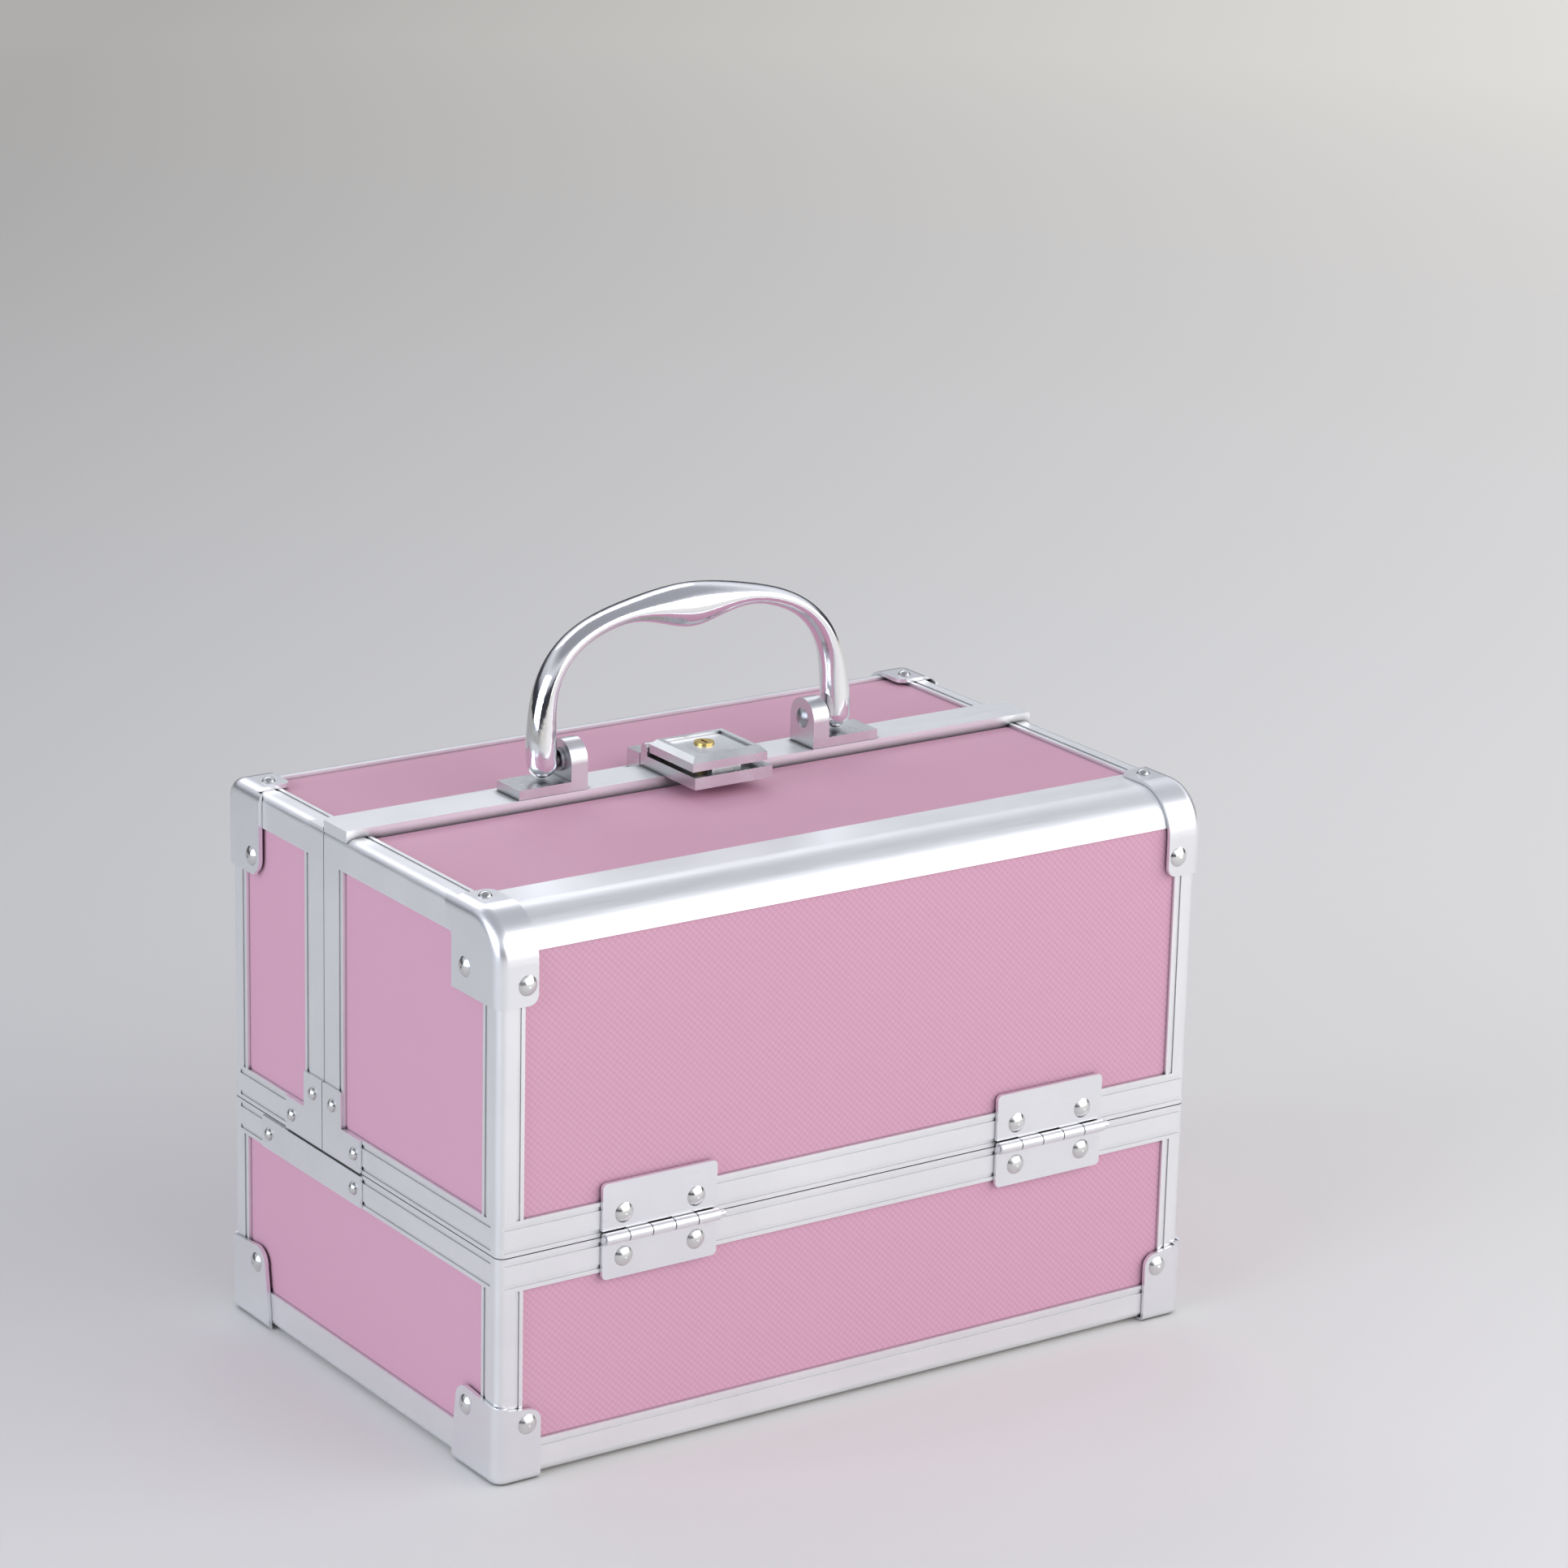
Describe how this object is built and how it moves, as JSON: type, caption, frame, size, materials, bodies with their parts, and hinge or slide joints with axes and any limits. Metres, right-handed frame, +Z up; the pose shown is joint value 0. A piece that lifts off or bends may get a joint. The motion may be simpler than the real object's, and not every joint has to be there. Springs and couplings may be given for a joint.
{
  "type": "makeup storage case",
  "caption": "Oblong vanity case with an aluminium frame, pink boards, two lids hinged on opposite sides, swing-out trays, a swing handle and a flap latch.",
  "frame": {"origin": "centre of the footprint, on the surface the case stands on", "axes": "+X along the case, -Y towards the front, which carries the wider lid, +Z up"},
  "size_m": [0.245, 0.1596, 0.2232],
  "materials": {
    "pink_board": "matt pink plastic skin with a fine embossed diamond grain, on board",
    "frame_aluminium": "satin anodised aluminium extrusion",
    "cap_steel": "bright pressed steel, nickel plated",
    "hinge_steel": "satin nickel-plated steel",
    "rivet_steel": "polished domed heads, nickel plated",
    "handle_chrome": "polished plated metal",
    "latch_chrome": "polished plated metal",
    "lock_brass": "polished brass",
    "tray_plastic": "moulded black plastic with a fine grain",
    "tray_steel": "zinc-plated flat steel",
    "lining": "black flocked lining"
  },
  "bodies": {
    "base": {"base_bottom_panel": "pink_board", "base_corner_caps": "cap_steel", "base_corner_posts": "frame_aluminium", "base_end_plates": "frame_aluminium", "base_foot_rails_end": "frame_aluminium", "base_foot_rails_long": "frame_aluminium", "base_front_panel": "pink_board", "base_left_panel": "pink_board", "base_lining": "lining", "base_rear_panel": "pink_board", "base_right_panel": "pink_board", "base_rivets": "rivet_steel", "base_top_rails_end": "frame_aluminium", "base_top_rails_long": "frame_aluminium", "hinge_lower_leaves": "hinge_steel", "hinge_pins": "hinge_steel", "tray_arm_pivots": "tray_steel"},
    "front_lid": {"front_lid_bottom_rails": "frame_aluminium", "front_lid_corner_caps": "cap_steel", "front_lid_corner_posts": "frame_aluminium", "front_lid_end_brackets": "frame_aluminium", "front_lid_end_top_profiles": "frame_aluminium", "front_lid_face_panel": "pink_board", "front_lid_hinge_leaves": "hinge_steel", "front_lid_left_panel": "pink_board", "front_lid_right_panel": "pink_board", "front_lid_rivets": "rivet_steel", "front_lid_round_profile": "frame_aluminium", "front_lid_seam_strips": "frame_aluminium", "front_lid_top_panel": "pink_board", "front_lid_top_strip": "frame_aluminium", "front_tray_pivots": "tray_steel", "handle_brackets": "latch_chrome", "handle_pins": "latch_chrome", "latch_base": "latch_chrome", "latch_pin": "latch_chrome"},
    "rear_lid": {"latch_keeper": "latch_chrome", "rear_lid_bottom_rails": "frame_aluminium", "rear_lid_corner_caps": "cap_steel", "rear_lid_corner_posts": "frame_aluminium", "rear_lid_end_brackets": "frame_aluminium", "rear_lid_end_top_profiles": "frame_aluminium", "rear_lid_face_panel": "pink_board", "rear_lid_hinge_leaves": "hinge_steel", "rear_lid_left_panel": "pink_board", "rear_lid_right_panel": "pink_board", "rear_lid_rivets": "rivet_steel", "rear_lid_round_profile": "frame_aluminium", "rear_lid_seam_strips": "frame_aluminium", "rear_lid_top_panel": "pink_board", "rear_lid_top_strip": "frame_aluminium", "rear_tray_pivots": "tray_steel"},
    "handle": {"handle": "handle_chrome"},
    "latch_flap": {"latch_flap": "latch_chrome"},
    "lock_cylinder": {"lock_cylinder": "lock_brass"},
    "front_lower_tray": {"front_lower_tray": "tray_plastic"},
    "front_upper_tray": {"front_upper_tray": "tray_plastic"},
    "rear_tray": {"rear_tray": "tray_plastic"},
    "front_tray_arms": {"front_tray_arms": "tray_steel"},
    "rear_tray_arms": {"rear_tray_arms": "tray_steel"}
  },
  "joints": [
    {"name": "front_lid_hinge", "type": "hinge", "parent": "base", "child": "front_lid", "pos_m": [0, -0.0781, 0.068], "axis": [1, 0, 0], "range_deg": [0, 90]},
    {"name": "rear_lid_hinge", "type": "hinge", "parent": "base", "child": "rear_lid", "pos_m": [0, 0.0781, 0.068], "axis": [-1, 0, 0], "range_deg": [0, 90]},
    {"name": "front_arm_pivot", "type": "hinge", "parent": "base", "child": "front_tray_arms", "pos_m": [0, -0.0481, 0.064], "axis": [1, 0, 0], "range_deg": [0, 90]},
    {"name": "front_lower_tray_pivot", "type": "hinge", "parent": "front_lid", "child": "front_lower_tray", "pos_m": [0, -0.0581, 0.078], "axis": [1, 0, 0], "range_deg": [-90, 0]},
    {"name": "front_upper_tray_pivot", "type": "hinge", "parent": "front_lid", "child": "front_upper_tray", "pos_m": [0, -0.0261, 0.112], "axis": [1, 0, 0], "range_deg": [-90, 0]},
    {"name": "rear_arm_pivot", "type": "hinge", "parent": "base", "child": "rear_tray_arms", "pos_m": [0, 0.0513, 0.064], "axis": [-1, 0, 0], "range_deg": [0, 90]},
    {"name": "rear_tray_pivot", "type": "hinge", "parent": "rear_lid", "child": "rear_tray", "pos_m": [0, 0.0581, 0.078], "axis": [-1, 0, 0], "range_deg": [-90, 0]},
    {"name": "handle_swing", "type": "hinge", "parent": "front_lid", "child": "handle", "pos_m": [0, 0.01435, 0.1768], "axis": [1, 0, 0], "range_deg": [-81, 89]},
    {"name": "latch_flap_hinge", "type": "hinge", "parent": "front_lid", "child": "latch_flap", "pos_m": [0, 0.01885, 0.17395], "axis": [-1, 0, 0], "range_deg": [0, 100]},
    {"name": "lock_turn", "type": "hinge", "parent": "latch_flap", "child": "lock_cylinder", "pos_m": [0, 0.00735, 0.1758], "axis": [0, 0, 1], "range_deg": [0, 90]}
  ],
  "couplings": [
    {"joint": "front_arm_pivot", "follows": "front_lid_hinge", "ratio": 1},
    {"joint": "front_lower_tray_pivot", "follows": "front_lid_hinge", "ratio": -1},
    {"joint": "front_upper_tray_pivot", "follows": "front_lid_hinge", "ratio": -1},
    {"joint": "rear_arm_pivot", "follows": "rear_lid_hinge", "ratio": 1},
    {"joint": "rear_tray_pivot", "follows": "rear_lid_hinge", "ratio": -1}
  ]
}
